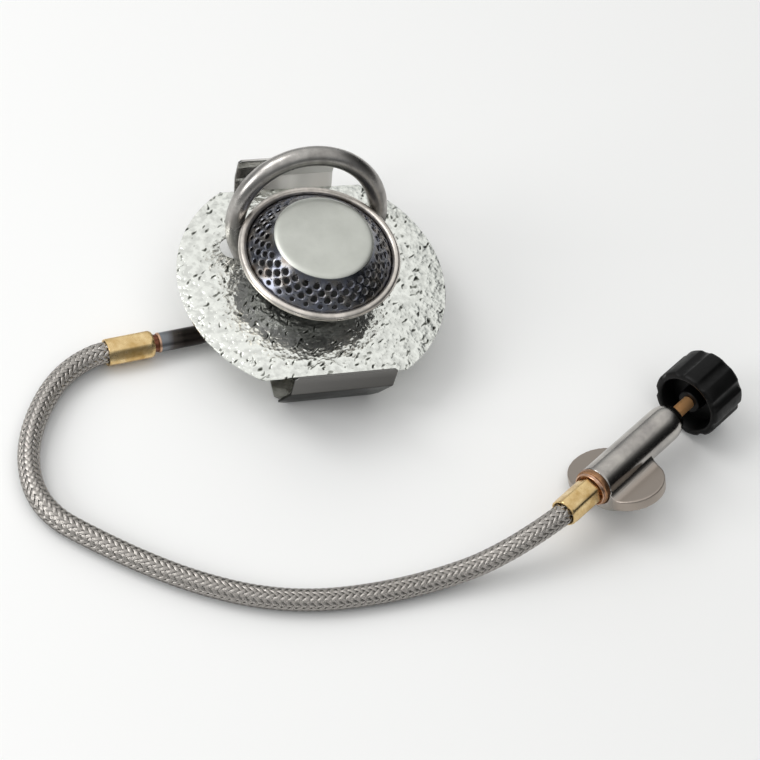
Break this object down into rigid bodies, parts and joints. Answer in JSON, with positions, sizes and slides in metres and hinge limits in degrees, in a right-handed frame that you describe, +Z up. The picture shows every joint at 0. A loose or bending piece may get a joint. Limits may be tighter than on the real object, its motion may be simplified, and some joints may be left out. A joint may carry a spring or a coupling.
{
  "type": "camping gas insert burner with hose and canister valve",
  "caption": "Gas insert burner with perforated cap, preheat loop, round heat plate, spring bracket, braided hose and winged canister valve with black knob",
  "frame": {"origin": "on the burner's axis at the underside of the bracket's web, on the surface that the part stands on", "axes": "+Z up along the burner's axis, +X to the right along the heat plate's flats, +Y to the rear, towards the preheat loop"},
  "size_m": [0.2681, 0.1773, 0.0617],
  "materials": {
    "spring_steel": "bright rolled stainless strip",
    "screw_steel": "bright zinc",
    "brass_block": "turned brass",
    "brass_bright": "turned brass",
    "tube_steel": "drawn steel tube",
    "nut_steel": "plated steel",
    "stucco_aluminium": "stucco embossed, bright",
    "bowl_steel": "heat tinted, matte",
    "cap_steel": "pressed, heat tinted cone",
    "preheat_steel": "drawn steel tube, heat tinted",
    "copper_braze": "copper brazed",
    "ferrule_brass": "crimped brass",
    "braid_steel": "woven wire braid",
    "union_copper": "copper plated",
    "cast_nickel": "die cast, nickel plated",
    "seal_rubber": "nitrile",
    "gland_steel": "dark steel",
    "spindle_brass": "turned bronze",
    "knob_plastic": "moulded black plastic"
  },
  "bodies": {
    "burner": {"spring_bracket": "spring_steel", "bracket_screw_left": "screw_steel", "bracket_screw_right": "screw_steel", "jet_block": "brass_block", "gas_jet": "brass_bright", "mixing_tube": "tube_steel", "mixer_nut": "nut_steel", "heat_plate": "stucco_aluminium", "burner_bowl": "bowl_steel", "flame_cap": "cap_steel", "preheat_tube": "preheat_steel", "braze_collar": "copper_braze", "burner_hose_tail": "brass_block", "burner_ferrule": "ferrule_brass", "hose": "braid_steel", "valve_ferrule": "ferrule_brass", "valve_hose_tail": "brass_block", "inlet_union": "union_copper", "valve_body": "cast_nickel", "canister_seal": "seal_rubber", "opener_pin": "brass_bright", "gland_nut": "gland_steel"},
    "spindle": {"spindle": "spindle_brass", "spindle_ring": "seal_rubber"},
    "knob": {"knob": "knob_plastic"}
  },
  "joints": [
    {"name": "spindle_travel", "type": "slide", "parent": "burner", "child": "spindle", "axis": [0.8169, 0.5762, -0.0262], "range_m": [0, 0.002]},
    {"name": "knob_turn", "type": "hinge", "parent": "spindle", "child": "knob", "pos_m": [0.13654, -0.05919, 0.01419], "axis": [0.8169, 0.5762, -0.0262], "range_deg": [0, 960]}
  ],
  "couplings": [
    {"joint": "knob_turn", "follows": "spindle_travel", "rad_per_m": 8377.6}
  ]
}
